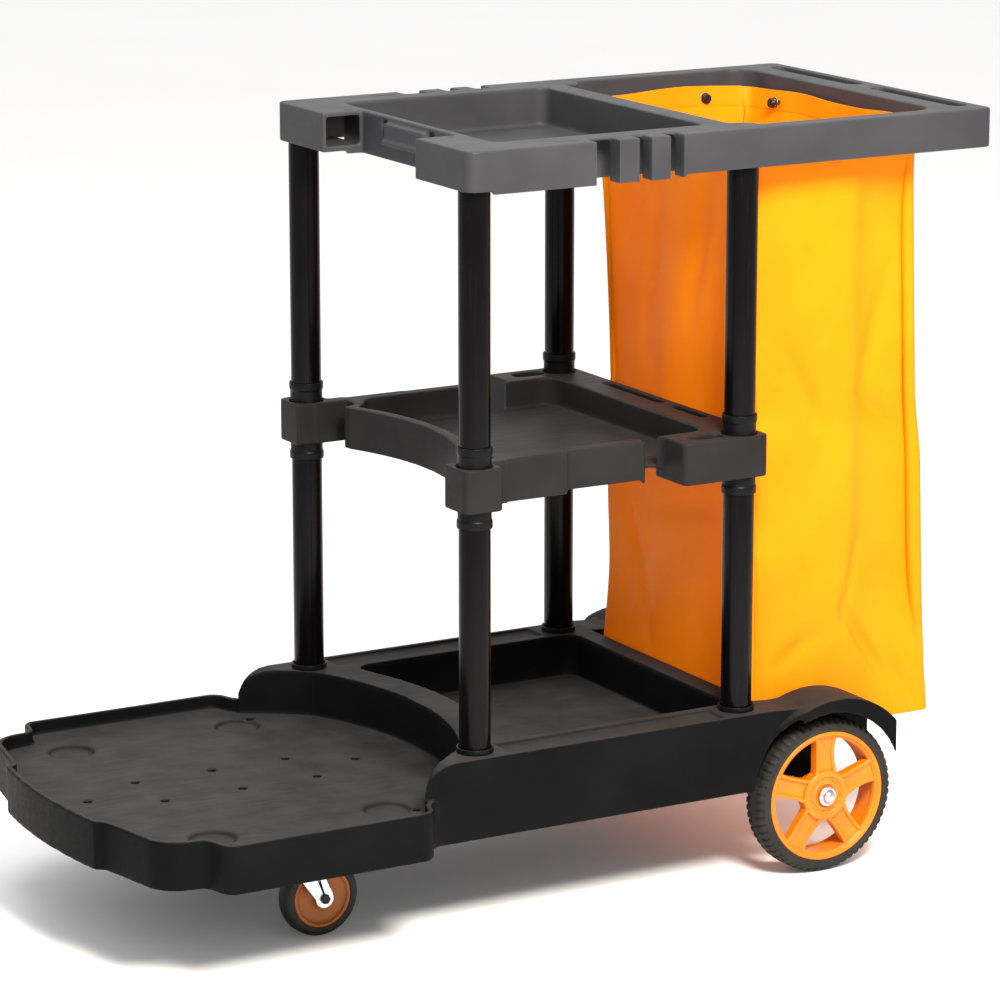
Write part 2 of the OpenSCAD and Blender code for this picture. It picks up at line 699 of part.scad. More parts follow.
module caster_tyre(s) {
  h = caster_w / 2;
  color("#171514") at_caster_axle(s) rotate_extrude() polygon([
    [37 + gap, -h + 4], [38.5 + gap, -h + 3], [38.5 + gap, -h + 0.5], [44, -h], [48.5, -h + 2],
    [caster_r, -h + 7], [caster_r, h - 7], [48.5, h - 2], [44, h], [38.5 + gap, h - 0.5],
    [38.5 + gap, h - 3], [37 + gap, h - 4]]);
}

base();
mid_shelf();
top_tray();
lower_post(post_front_x, -1);  // lower_post_front_near
lower_post(post_front_x, 1);  // lower_post_front_far
lower_post(post_rear_x, -1);  // lower_post_rear_near
lower_post(post_rear_x, 1);  // lower_post_rear_far
upper_post(post_front_x, -1);  // upper_post_front_near
upper_post(post_front_x, 1);  // upper_post_front_far
upper_post(post_rear_x, -1);  // upper_post_rear_near
upper_post(post_rear_x, 1);  // upper_post_rear_far
shelf_sleeve(post_front_x, -1);  // shelf_sleeve_front_near
shelf_sleeve(post_front_x, 1);  // shelf_sleeve_front_far
shelf_sleeve(post_rear_x, -1);  // shelf_sleeve_rear_near
shelf_sleeve(post_rear_x, 1);  // shelf_sleeve_rear_far
foot_ring(post_front_x, -1);  // foot_ring_front_near
foot_ring(post_front_x, 1);  // foot_ring_front_far
foot_ring(post_rear_x, -1);  // foot_ring_rear_near
foot_ring(post_rear_x, 1);  // foot_ring_rear_far
bag();
bag_hooks();
bag_eyelets();
rear_axle();
axle_washers();
axle_cap(-1);  // axle_cap_near
axle_cap(1);  // axle_cap_far
rear_wheel(-1);  // rear_wheel_near
rear_wheel(1);  // rear_wheel_far
rear_tyre(-1);  // rear_tyre_near
rear_tyre(1);  // rear_tyre_far
caster_plate(-1);  // caster_plate_near
caster_plate(1);  // caster_plate_far
caster_race(-1);  // caster_race_near
caster_race(1);  // caster_race_far
caster_kingpin(-1);  // caster_kingpin_near
caster_kingpin(1);  // caster_kingpin_far
caster_screws(-1);  // caster_screws_near
caster_screws(1);  // caster_screws_far
caster_fork(-1);  // caster_fork_near
caster_fork(1);  // caster_fork_far
caster_bolt(-1);  // caster_bolt_near
caster_bolt(1);  // caster_bolt_far
caster_nut(-1);  // caster_nut_near
caster_nut(1);  // caster_nut_far
caster_wheel(-1);  // caster_wheel_near
caster_wheel(1);  // caster_wheel_far
caster_tyre(-1);  // caster_tyre_near
caster_tyre(1);  // caster_tyre_far
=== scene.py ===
# Housekeeping cart: its looks, built round the cart's own frame. Names that end in Mm and the sizes
# in the pieces' dictionaries are in millimetres; meshes, lamps and the stage are in metres.
import math

import bmesh
import bpy
import numpy as np
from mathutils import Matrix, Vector


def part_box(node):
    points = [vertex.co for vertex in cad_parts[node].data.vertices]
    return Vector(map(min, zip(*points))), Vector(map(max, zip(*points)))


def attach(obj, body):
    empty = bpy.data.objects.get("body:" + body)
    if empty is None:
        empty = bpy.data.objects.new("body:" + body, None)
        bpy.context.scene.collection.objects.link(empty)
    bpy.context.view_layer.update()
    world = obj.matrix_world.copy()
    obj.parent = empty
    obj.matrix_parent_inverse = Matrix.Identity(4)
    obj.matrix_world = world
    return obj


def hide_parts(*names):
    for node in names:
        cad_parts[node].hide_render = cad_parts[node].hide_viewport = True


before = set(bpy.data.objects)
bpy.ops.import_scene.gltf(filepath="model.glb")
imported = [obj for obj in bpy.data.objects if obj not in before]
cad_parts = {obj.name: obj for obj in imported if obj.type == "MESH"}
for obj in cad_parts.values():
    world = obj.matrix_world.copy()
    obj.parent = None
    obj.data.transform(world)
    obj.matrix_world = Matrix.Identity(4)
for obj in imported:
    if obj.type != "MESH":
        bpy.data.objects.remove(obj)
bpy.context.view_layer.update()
mm = 0.001
sides = {"near": -1, "far": 1}
ends = ("front", "rear")


def nodeBox(node):
    low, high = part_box(node)
    return np.array(low) / mm, np.array(high) / mm


view = {"place": (-2566.7, -4566.4, 1722.1), "yaw": -29.66, "elevation": 13.32, "lens": 152.75}


def makeCamera():
    data = bpy.data.cameras.new("camera")
    data.lens, data.sensor_width = view["lens"], 36
    data.clip_start, data.clip_end = 0.1, 200
    camera = bpy.data.objects.new("camera", data)
    yaw, tip = math.radians(view["yaw"]), math.radians(view["elevation"])
    back = Vector((math.sin(yaw) * math.cos(tip), -math.cos(yaw) * math.cos(tip), math.sin(tip)))
    camera.rotation_mode = "QUATERNION"
    camera.rotation_quaternion = (-back).to_track_quat("-Z", "Y")
    camera.location = Vector(view["place"]) * mm
    bpy.context.scene.collection.objects.link(camera)
    bpy.context.scene.camera = camera


makeCamera()
print("camera placed")


def colour(hexText):
    # an sRGB hex colour as linear red, green, blue and alpha
    parts = np.array([int(hexText[i:i + 2], 16) for i in (1, 3, 5)]) / 255
    linear = np.where(parts <= 0.04045, parts / 12.92, ((parts + 0.055) / 1.055) ** 2.4)
    return (*linear.tolist(), 1.0)


def addNode(tree, kind, inputs=None, **settings):
    # adds a node, sets its own settings, then fills or links its inputs
    node = tree.nodes.new("ShaderNode" + kind)
    for name, value in settings.items():
        setattr(node, name, value)
    for name, value in (inputs or {}).items():
        socket = node.inputs[name]
        if isinstance(value, bpy.types.NodeSocket):
            tree.links.new(value, socket)
        else:
            socket.default_value = value
    return node


def newMaterial(name):
    material = bpy.data.materials.new(name)
    material.use_nodes = True
    tree = material.node_tree
    tree.nodes.clear()
    return material, tree


def perMetre(sizeMm):
    return 1000 / sizeMm


def noise(tree, at, sizeMm, detail=2.0, roughness=0.5):
    return addNode(tree, "TexNoise", {"Vector": at, "Scale": perMetre(sizeMm), "Detail": detail,
                                      "Roughness": roughness}).outputs["Fac"]


def spread(tree, value, low, high, fromLow=0.3, fromHigh=0.7):
    return addNode(tree, "MapRange", {"Value": value, "From Min": fromLow, "From Max": fromHigh,
                                      "To Min": low, "To Max": high}).outputs[0]


def blendColours(tree, factor, first, second):
    return addNode(tree, "Mix", {0: factor, 6: first, 7: second}, data_type="RGBA").outputs[2]


def maths(tree, operation, first, second):
    return addNode(tree, "Math", {0: first, 1: second}, operation=operation).outputs[0]


def times(tree, first, second):
    return maths(tree, "MULTIPLY", first, second)


def stretched(tree, at, scale):
    # the same place, measured finer or coarser along each axis, so that a pattern runs one way
    return addNode(tree, "Mapping", {"Vector": at, "Scale": scale}).outputs[0]


def bumped(tree, height, distanceMm, strength=1.0, under=None):
    inputs = {"Height": height, "Distance": distanceMm * mm, "Strength": strength}
    if under is not None:
        inputs["Normal"] = under
    return addNode(tree, "Bump", inputs).outputs[0]


def edgeWear(tree, radiusMm, fromLow, fromHigh):
    # how far a rounded normal leans from the true one: near zero on a flat, and high on an edge
    rounded = addNode(tree, "Bevel", {"Radius": radiusMm * mm}, samples=4).outputs[0]
    true = addNode(tree, "NewGeometry").outputs["Normal"]
    along = addNode(tree, "VectorMath", {0: rounded, 1: true}, operation="DOT_PRODUCT").outputs["Value"]
    return spread(tree, maths(tree, "SUBTRACT", 1.0, along), 0.0, 1.0, fromLow, fromHigh)


def closeMaterial(tree, inputs):
    shader = addNode(tree, "BsdfPrincipled", inputs)
    addNode(tree, "OutputMaterial", {"Surface": shader.outputs[0]})


# how wide each pattern's patches are, in millimetres
patternMm = {"handled": 14, "dustAndSheenDrift": 55, "mouldStreak": 60, "dullPatch": 120, "pebble": 1.6,
             "coolingWave": 46, "tubeScuff": 5, "coatPeel": 2.6, "dyeCloud": 40, "hollowPatch": 9,
             "skinScuff": 12, "skinWave": 3.2, "bloom": 26, "treadRub": 6, "rubberScuff": 18,
             "rubberPore": 1.1, "zincStain": 11, "zincScratch": 3, "clothRub": 30, "clothCrinkle": 22}


def mouldedPolyethylene(name, look):
    # rotomoulded and injection-moulded polyethylene: a fine pebbled grain that scatters the light, slow
    # waves where walls have cooled, paler rubbed edges, and on what faces up dust with a painted sheen
    material, tree = newMaterial(name)
    at = addNode(tree, "TexCoord").outputs["Object"]
    cloudy = noise(tree, at, look["cloudMm"], 4.0)
    body = blendColours(tree, spread(tree, cloudy, 0, 1), colour(look["dark"]), colour(look["pale"]))
    handled = spread(tree, noise(tree, at, patternMm["handled"], 5.0), 0.15, 1)
    rubbed = times(tree, edgeWear(tree, 3.0, 0.03, 0.3), handled)
    body = blendColours(tree, times(tree, rubbed, look["wear"]), body, colour(look["worn"]))
    # what faces up is paled towards the worn colour: partly settled dust, partly a painted sheen in place of
    # the decks' grazing reflection
    up = addNode(tree, "SeparateXYZ", {0: addNode(tree, "NewGeometry").outputs["Normal"]}).outputs["Z"]
    drifts = spread(tree, noise(tree, at, patternMm["dustAndSheenDrift"], 6.0, 0.6), 0.6, 1)
    dustAndSheen = times(tree, spread(tree, up, 0, look["dust"], 0.6, 1.0), drifts)
    body = blendColours(tree, dustAndSheen, body, colour(look["worn"]))
    streaks = noise(tree, stretched(tree, at, (1, 9, 9)), patternMm["mouldStreak"], 6.0, 0.65)
    dull = spread(tree, noise(tree, at, patternMm["dullPatch"]), look["rough"], look["rough"] + 0.05)
    rough = maths(tree, "ADD", spread(tree, streaks, -0.05, 0.07), dull)
    # the real grain is 0.4 mm across, and it is drawn coarser so that it shows
    grain = bumped(tree, noise(tree, at, patternMm["pebble"], 1.0), look["grainMm"], 0.5)
    waves = bumped(tree, noise(tree, at, patternMm["coolingWave"], 1.0), 0.5, 0.6, grain)
    closeMaterial(tree, {"Base Color": body, "Roughness": rough, "IOR": 1.51, "Normal": waves,
                         "Specular IOR Level": look["gloss"]})
    return material


def coatedTube(name, look):
    # black powder-coated steel tube: hard and glossy, a slight orange peel, faint upright scuffs
    material, tree = newMaterial(name)
    at = addNode(tree, "TexCoord").outputs["Object"]
    scuffs = noise(tree, stretched(tree, at, (1, 1, 0.06)), patternMm["tubeScuff"], 6.0, 0.7)
    worn = spread(tree, scuffs, 0, 1, 0.55, 0.8)
    body = blendColours(tree, worn, colour(look["dark"]), colour(look["pale"]))
    rough = spread(tree, scuffs, look["rough"], look["rough"] + 0.12, 0.35, 0.8)
    peel = bumped(tree, noise(tree, at, patternMm["coatPeel"], 1.0), 0.03, 0.5)
    closeMaterial(tree, {"Base Color": body, "Roughness": rough, "IOR": 1.5, "Normal": peel,
                         "Specular IOR Level": look["gloss"], "Coat Weight": 0.03, "Coat Roughness": 0.12})
    return material


def mouldedPolypropylene(name, look):
    # dyed polypropylene and nylon: clean colour, a soft skin gloss, scuffs that dull it, and a darker
    # colour in patches where ambient occlusion finds hollows close by
    material, tree = newMaterial(name)
    at = addNode(tree, "TexCoord").outputs["Object"]
    cloudy = noise(tree, at, patternMm["dyeCloud"], 4.0)
    body = blendColours(tree, spread(tree, cloudy, 0, 1), colour(look["dark"]), colour(look["pale"]))
    # darker in patches where ambient occlusion finds hollows within 9 mm
    hollow = addNode(tree, "AmbientOcclusion", {"Distance": 9 * mm}, samples=4).outputs["AO"]
    patchy = spread(tree, noise(tree, at, patternMm["hollowPatch"], 5.0), 0.25, look["hollowPatch"])
    inHollows = times(tree, spread(tree, hollow, 1, 0, 0.1, 0.75), patchy)
    body = blendColours(tree, inHollows, body, colour(look["inHollows"]))
    scuffs = noise(tree, at, patternMm["skinScuff"], 6.0, 0.65)
    rough = spread(tree, scuffs, look["rough"], look["rough"] + 0.16)
    skin = bumped(tree, noise(tree, at, patternMm["skinWave"], 2.0), 0.05, 0.4)
    closeMaterial(tree, {"Base Color": body, "Roughness": rough, "IOR": 1.49, "Normal": skin,
                         "Specular IOR Level": look["gloss"]})
    return material


def mouldedRubber(name, look):
    # black rubber, matt, bloomed grey-brown where it flexes, with floor dust ground into the tread
    material, tree = newMaterial(name)
    at = addNode(tree, "TexCoord").outputs["Object"]
    bloom = spread(tree, noise(tree, at, patternMm["bloom"], 6.0, 0.6), 0, 1, 0.35, 0.75)
    body = blendColours(tree, bloom, colour(look["dark"]), colour(look["pale"]))
    patchy = spread(tree, noise(tree, at, patternMm["treadRub"], 4.0), 0.1, 0.7)
    rubbed = times(tree, edgeWear(tree, 1.6, 0.02, 0.25), patchy)
    body = blendColours(tree, rubbed, body, colour(look["dust"]))
    rough = spread(tree, noise(tree, at, patternMm["rubberScuff"], 5.0), look["rough"], look["rough"] + 0.16)
    pores = bumped(tree, noise(tree, at, patternMm["rubberPore"], 2.0), 0.06, 0.6)
    closeMaterial(tree, {"Base Color": body, "Roughness": rough, "IOR": 1.52, "Normal": pores,
                         "Specular IOR Level": look["gloss"]})
    return material


def platedMetal(name, look):
    # plated or oxidised metal: a soft cast with faint cells in its sheen, stains that dull it, and
    # fine handling scratches
    material, tree = newMaterial(name)
    at = addNode(tree, "TexCoord").outputs["Object"]
    cells = addNode(tree, "TexVoronoi", {"Vector": at, "Scale": perMetre(look["cellMm"])}).outputs["Distance"]
    tint = blendColours(tree, spread(tree, cells, 0, 1, 0.1, 0.8), colour(look["dark"]), colour(look["pale"]))
    stain = spread(tree, noise(tree, at, patternMm["zincStain"], 6.0, 0.65), 0, look["stain"], 0.5, 0.8)
    tint = blendColours(tree, stain, tint, colour("#6f6557"))
    fine = noise(tree, stretched(tree, at, (1, 12, 1)), patternMm["zincScratch"], 4.0)
    scratched = spread(tree, fine, look["rough"], look["rough"] + 0.14)
    rough = maths(tree, "ADD", scratched, times(tree, stain, 0.4))
    closeMaterial(tree, {"Base Color": tint, "Metallic": 1.0, "Roughness": rough,
                         "Normal": bumped(tree, fine, 0.02, 0.4)})
    return material


def coatedPolyester(name, look):
    # plain-woven polyester with a vinyl coat: the yarns show through as a soft relief, the coat has
    # a low sheen and lets some light through. The weave follows the cut panels, so it reads their UV
    material, tree = newMaterial(name)
    flat = addNode(tree, "UVMap", uv_map="cut").outputs[0]
    at = addNode(tree, "TexCoord").outputs["Object"]
    split = addNode(tree, "SeparateXYZ", {0: flat})
    turn = 2 * math.pi * perMetre(look["yarnMm"])
    warp = maths(tree, "SINE", times(tree, split.outputs["X"], turn), 0.0)
    weft = maths(tree, "SINE", times(tree, split.outputs["Y"], turn), 0.0)
    weave = times(tree, warp, weft)
    cloudy = noise(tree, at, look["cloudMm"], 5.0, 0.6)
    body = blendColours(tree, spread(tree, cloudy, 0, 1), colour(look["dark"]), colour(look["pale"]))
    body = blendColours(tree, spread(tree, weave, 0.0, 0.10, -1, 1), body, colour(look["yarn"]))
    rubbed = spread(tree, noise(tree, at, patternMm["clothRub"], 7.0, 0.7), 0, 0.22, 0.56, 0.8)
    body = blendColours(tree, rubbed, body, colour(look["soil"]))
    crinkle = bumped(tree, noise(tree, at, patternMm["clothCrinkle"], 4.0, 0.55), look["crinkleMm"], 0.6)
    relief = bumped(tree, weave, 0.12, 0.35, crinkle)
    rough = spread(tree, cloudy, look["rough"] + 0.06, look["rough"] - 0.05)
    shader = addNode(tree, "BsdfPrincipled", {
        "Base Color": body, "Roughness": rough, "IOR": 1.46, "Normal": relief,
        "Specular IOR Level": look["gloss"], "Sheen Weight": 0.04, "Sheen Roughness": 0.4,
        "Sheen Tint": colour(look["yarn"])})
    through = addNode(tree, "BsdfTranslucent", {"Color": colour(look["glow"]), "Normal": relief})
    both = addNode(tree, "MixShader", {0: look["through"], 1: shader.outputs[0], 2: through.outputs[0]})
    addNode(tree, "OutputMaterial", {"Surface": both.outputs[0]})
    return material


# a moulding's dust amount pales what faces up: partly dust, partly a painted sheen
finishes = {
    "tray_plastic": mouldedPolyethylene("tray_polyethylene", {
        "dark": "#2f2f32", "pale": "#373739", "worn": "#807e7a", "wear": 0.22, "dust": 0.04,
        "rough": 0.45, "gloss": 0.15, "grainMm": 0.10, "cloudMm": 90}),
    "shelf_plastic": mouldedPolyethylene("shelf_polyethylene", {
        "dark": "#1d1c1d", "pale": "#252323", "worn": "#66625f", "wear": 0.2, "dust": 0.08,
        "rough": 0.43, "gloss": 0.06, "grainMm": 0.10, "cloudMm": 90}),
    "base_plastic": mouldedPolyethylene("base_polyethylene", {
        "dark": "#0a0a0b", "pale": "#101011", "worn": "#6a6867", "wear": 0.16, "dust": 0.2,
        "rough": 0.45, "gloss": 0.03, "grainMm": 0.12, "cloudMm": 110}),
    "gloss_tube": coatedTube("tube_powder_coat", {
        "dark": "#050405", "pale": "#0e0d0f", "rough": 0.2, "gloss": 0.08}),
    "socket_plastic": mouldedPolypropylene("socket_polypropylene", {
        "dark": "#09090a", "pale": "#0e0e10", "inHollows": "#221f1c", "hollowPatch": 0.4, "rough": 0.3, "gloss": 0.1}),
    "hook_plastic": mouldedPolypropylene("hook_nylon", {
        "dark": "#131214", "pale": "#1d1b1d", "inHollows": "#2c2824", "hollowPatch": 0.4, "rough": 0.3, "gloss": 0.4}),
    "wheel_orange": mouldedPolypropylene("wheel_polypropylene", {
        "dark": "#c76703", "pale": "#d57205", "inHollows": "#5a3312", "hollowPatch": 0.7, "rough": 0.34, "gloss": 0.35}),
    # the caster's orange is the wheels' orange darkened: painted shade for the shadow the caster stands in
    "caster_orange": mouldedPolypropylene("caster_polypropylene_painted_shade", {
        "dark": "#7e3f08", "pale": "#93500d", "inHollows": "#32190a", "hollowPatch": 0.8, "rough": 0.36, "gloss": 0.35}),
    "rear_rubber": mouldedRubber("rear_tyre_rubber", {
        "dark": "#171513", "pale": "#24201d", "dust": "#5d564c", "rough": 0.62, "gloss": 0.25}),
    "caster_rubber": mouldedRubber("caster_tyre_rubber", {
        "dark": "#0c0b0b", "pale": "#151312", "dust": "#3d3934", "rough": 0.5, "gloss": 0.25}),
    "zinc_sheet": platedMetal("bright_zinc_sheet", {
        "dark": "#c3d0d6", "pale": "#e2ebee", "cellMm": 5, "rough": 0.24, "stain": 0.25}),
    "zinc_steel": platedMetal("zinc_plated_steel", {
        "dark": "#a9aeb2", "pale": "#c9cdd0", "cellMm": 3, "rough": 0.28, "stain": 0.45}),
    "bolt_steel": platedMetal("black_oxide_steel", {
        "dark": "#1d1d1f", "pale": "#2b2b2d", "cellMm": 4, "rough": 0.34, "stain": 0.2}),
    "eyelet_metal": platedMetal("nickel_plated_brass", {
        "dark": "#8c8473", "pale": "#b3ab99", "cellMm": 4, "rough": 0.3, "stain": 0.5}),
    "bag_vinyl": coatedPolyester("coated_polyester", {
        "dark": "#f4960a", "pale": "#faa412", "yarn": "#ffb624", "soil": "#d07a08", "glow": "#ffa806",
        "through": 0.42, "rough": 0.42, "gloss": 0.1, "yarnMm": 2.2, "cloudMm": 140, "crinkleMm": 0.9}),
}
print("finishes made:", len(finishes))


def gridQuads(rows, cols, closeRows=False, closeCols=False):
    # joins each point of a grid of rows by cols to its next neighbours
    i = np.arange(rows if closeRows else rows - 1)[:, None]
    j = np.arange(cols if closeCols else cols - 1)[None, :]
    nextI, nextJ = (i + 1) % rows, (j + 1) % cols
    corners = [i * cols + j, i * cols + nextJ, nextI * cols + nextJ, nextI * cols + j]
    return np.stack(np.broadcast_arrays(*corners), -1).reshape(-1, 4)


def joined(parts):
    # several (points, faces) pairs as one
    starts = np.cumsum([0] + [len(points) for points, _ in parts])
    faces = [quads + start for (_, quads), start in zip(parts, starts)]
    return np.concatenate([points for points, _ in parts]), np.concatenate(faces)


def roundedProfile(corners, radius, steps=4, closed=True):
    # each corner becomes a curve of the second degree that leaves both of its edges smoothly,
    # and starts a radius, or at most half an edge, away from the corner
    p = np.array(corners, float)
    before, after = np.roll(p, 1, 0) - p, np.roll(p, -1, 0) - p
    reach = np.broadcast_to(np.asarray(radius, float), len(p)).copy()
    if not closed:
        reach[[0, -1]] = 0
    lengths = [np.linalg.norm(edge, axis=1) for edge in (before, after)]
    cut = np.minimum(reach, 0.499 * np.minimum(*lengths))[:, None]
    start = p + before / lengths[0][:, None] * cut
    stop = p + after / lengths[1][:, None] * cut
    t = np.linspace(0, 1, steps + 1)[None, :, None]
    curve = (1 - t) ** 2 * start[:, None] + 2 * t * (1 - t) * p[:, None] + t ** 2 * stop[:, None]
    return curve.reshape(-1, 2)


def turned(profile, centre, axis="y", around=96, shape=None):
    # a profile of (radius, height) turned about an axis: x and the third direction are the radius
    # times the cosine and sine of the turn, and the height runs along the axis
    r, h = profile[:, 0][:, None], profile[:, 1][:, None]
    angle = np.linspace(0, 2 * np.pi, around, endpoint=False)[None, :]
    if shape is not None:
        r = shape(r, h, angle)
    r, h, angle = np.broadcast_arrays(r, h, angle)
    across, up = r * np.cos(angle), r * np.sin(angle)
    spots = (across, h, up) if axis == "y" else (across, up, h)
    points = np.stack(spots, -1).reshape(-1, 3) + np.array(centre)
    return points, gridQuads(len(profile), around, True, True)


def ring(corners, radius, centre, **options):
    return turned(roundedProfile(corners, radius), centre, **options)


def finishPiece(piece, slot, body, replaced=(), crease=35):
    piece.data.materials.clear()
    piece.data.materials.append(finishes[slot])
    piece.data.shade_smooth()
    piece.data.set_sharp_from_angle(angle=math.radians(crease))
    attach(piece, body)
    if replaced:
        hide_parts(*replaced)
    return piece


def meshObject(name, points, faces, tidy=True):
    mesh = bpy.data.meshes.new(name)
    mesh.from_pydata((points * mm).tolist(), [], faces.tolist())
    if tidy:
        shaper = bmesh.new()
        shaper.from_mesh(mesh)
        bmesh.ops.remove_doubles(shaper, verts=shaper.verts, dist=0.01 * mm)
        bmesh.ops.dissolve_degenerate(shaper, edges=shaper.edges, dist=0.005 * mm)
        bmesh.ops.recalc_face_normals(shaper, faces=shaper.faces)
        shaper.to_mesh(mesh)
        shaper.free()
    piece = bpy.data.objects.new(name, mesh)
    bpy.context.scene.collection.objects.link(piece)
    return piece


def makePiece(name, surface, slot, body, replaced=(), crease=35):
    return finishPiece(meshObject(name, *surface), slot, body, replaced, crease)


def mergedCopy(node, name):
    # the node's loose triangles as one closed mesh of its own
    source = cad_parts[node].data
    spots = np.zeros(len(source.vertices) * 3, np.float32)
    source.vertices.foreach_get("co", spots)
    corners = np.zeros(len(source.loops), np.int32)
    source.loops.foreach_get("vertex_index", corners)
    mesh = bpy.data.meshes.new(name)
    mesh.from_pydata(spots.reshape(-1, 3).tolist(), [], corners.reshape(-1, 3).tolist())
    shaper = bmesh.new()
    shaper.from_mesh(mesh)
    bmesh.ops.remove_doubles(shaper, verts=shaper.verts, dist=0.002 * mm)
    shaper.to_mesh(mesh)
    shaper.free()
    piece = bpy.data.objects.new(name, mesh)
    bpy.context.scene.collection.objects.link(piece)
    return piece


def softenedCopy(node, name, slot, body, edgeMm, steps=2, sharpest=25):
    piece = mergedCopy(node, name)
    bevel = piece.modifiers.new("edges", "BEVEL")
    bevel.width, bevel.segments = edgeMm * mm, steps
    bevel.limit_method, bevel.angle_limit = "ANGLE", math.radians(sharpest)
    bevel.use_clamp_overlap = False
    bevel.harden_normals = True
    return finishPiece(piece, slot, body, (node,), 40)


def evaluated(piece, name):
    # the piece's mesh with its modifiers applied, in place of the one it had
    mesh = bpy.data.meshes.new_from_object(piece.evaluated_get(bpy.context.evaluated_depsgraph_get()))
    piece.modifiers.clear()
    piece.data = mesh
    mesh.name = name


def remouldedCopy(node, name, slot, body, cellMm, triangles):
    # a moulding laid out again on a fine grid, which rounds every edge by about a cell, and then
    # thinned where it is flat
    piece = mergedCopy(node, name)
    grid = piece.modifiers.new("grid", "REMESH")
    grid.mode, grid.voxel_size, grid.adaptivity = "VOXEL", cellMm * mm, 0
    soften = piece.modifiers.new("soften", "SMOOTH")
    soften.factor, soften.iterations = 0.5, 4
    evaluated(piece, name)
    thin = piece.modifiers.new("thin", "DECIMATE")
    thin.ratio = min(1, triangles / (2 * len(piece.data.polygons)))
    evaluated(piece, name)
    finishPiece(piece, slot, body, (node,), 50)
    even = piece.modifiers.new("even", "WEIGHTED_NORMAL")
    even.keep_sharp, even.weight = True, 80


mouldings = {"base": ("base_moulding", "base_plastic", 2.2, 170000),
             "mid_shelf": ("shelf_moulding", "shelf_plastic", 2.0, 80000),
             "top_tray": ("tray_moulding", "tray_plastic", 2.0, 120000)}
for node, (name, slot, cellMm, triangles) in mouldings.items():
    remouldedCopy(node, name, slot, "root", cellMm, triangles)
print("mouldings done")


tube = {"wall": 2.4, "round": 1.0}
sleeve = {"lip": 1.2, "lipTall": 9, "slope": 2, "round": 1.5}
footRing = {"round": 2.0}


def makeTube(node, name, slot, radius, lip=0):
    # a tube in its node's box, with its outside cut back by the lip's depth between two end bands
    low, high = nodeBox(node)
    centre = ((low[0] + high[0]) / 2, (low[1] + high[1]) / 2, 0)
    outer = (high[0] - low[0]) / 2
    inner = outer - tube["wall"]
    outline = [[outer, low[2]], [outer, high[2]]]
    if lip:
        bandLow, bandHigh = low[2] + sleeve["lipTall"], high[2] - sleeve["lipTall"]
        waist = [[outer - lip, bandLow + sleeve["slope"]], [outer - lip, bandHigh - sleeve["slope"]]]
        outline = [[outer, low[2]], [outer, bandLow], *waist, [outer, bandHigh], [outer, high[2]]]
    corners = [[inner, low[2]], *outline, [inner, high[2]]]
    makePiece(name, ring(corners, radius, centre, axis="z"), slot, "root", (node,))


for end in ends:
    for side in sides:
        spot = f"{end}_{side}"
        makeTube(f"lower_post_{spot}", f"lower_tube_{spot}", "gloss_tube", tube["round"])
        makeTube(f"upper_post_{spot}", f"upper_tube_{spot}", "gloss_tube", tube["round"])
        makeTube(f"shelf_sleeve_{spot}", f"socket_{spot}", "socket_plastic", sleeve["round"], sleeve["lip"])
        makeTube(f"foot_ring_{spot}", f"collar_{spot}", "socket_plastic", footRing["round"])
print("posts done")


wheel = {"rimIn": 76.0, "hub": 33.0, "core": 19.0, "bore": 6.1, "spokes": 5, "spokeWide": 29.0,
         "ridge": 4.0, "channel": 3.2, "spokeDeep": 15.0, "spokeSunk": 2.6, "dip": 2.5,
         "lugs": 60, "lugDeep": 2.4, "tread": 101.6, "crown": 5.6}


def onSide(corners, side):
    # an outline of radius and distance from the middle of the cart, on the near or the far side
    return [[r, side * y] for r, y in corners]


def halfWay(low, high):
    return [(low[k] + high[k]) / 2 for k in range(3)]


def spokeSurface(angle, centre, face, side):
    # a channel with raised edges, carried outwards from the hub to the rim at one angle
    half, ridge, deep = wheel["spokeWide"] / 2, wheel["ridge"], wheel["channel"]
    back = face - wheel["spokeDeep"]
    right = [[half, back], [half + 0.6, face - 1], [half - 0.4, face], [half - ridge, face],
             [half - ridge - 1.4, face - deep]]
    left = [[-across, depth] for across, depth in right[::-1]]
    section = roundedProfile([left[-1], *right, *left[:-1]], 1.2, 3)
    reach = np.linspace(wheel["core"] - 4, wheel["rimIn"] + 4, 14)[:, None]
    # wide at the hub, narrowest at the middle and wide again where it runs into the rim: a least width
    # plus the square of how far past a share of the reach it is, at either end
    share = (reach - wheel["hub"]) / (wheel["rimIn"] - wheel["hub"])
    atRim, atHub = np.clip(share - 0.62, 0, 1), np.clip(0.35 - share, 0, 1)
    width = 0.92 + 1.2 * atRim ** 2 + 0.72 * atHub ** 2
    across, level = section[:, 0][None, :] * width, section[:, 1][None, :]
    # the face dips along half a sine wave between the hub and the rim, and the back stays flat
    dip = wheel["dip"] * np.clip(np.sin(np.pi * np.clip(share, 0, 1)), 0, 1)
    depth = np.where(level > back + 1, level - dip, level)
    x = reach * math.cos(angle) - across * math.sin(angle)
    z = reach * math.sin(angle) + across * math.cos(angle)
    points = np.stack([x, side * depth, z], -1).reshape(-1, 3) + np.array(centre)
    rows, cols = across.shape[0], section.shape[0]
    caps = [[k, (k + 1) % cols, cols - 1 - (k + 1) % cols, cols - 1 - k] for k in range(cols // 2 - 1)]
    return points, np.concatenate([gridQuads(rows, cols, False, True), np.array(caps),
                                   np.array(caps)[:, ::-1] + (rows - 1) * cols])


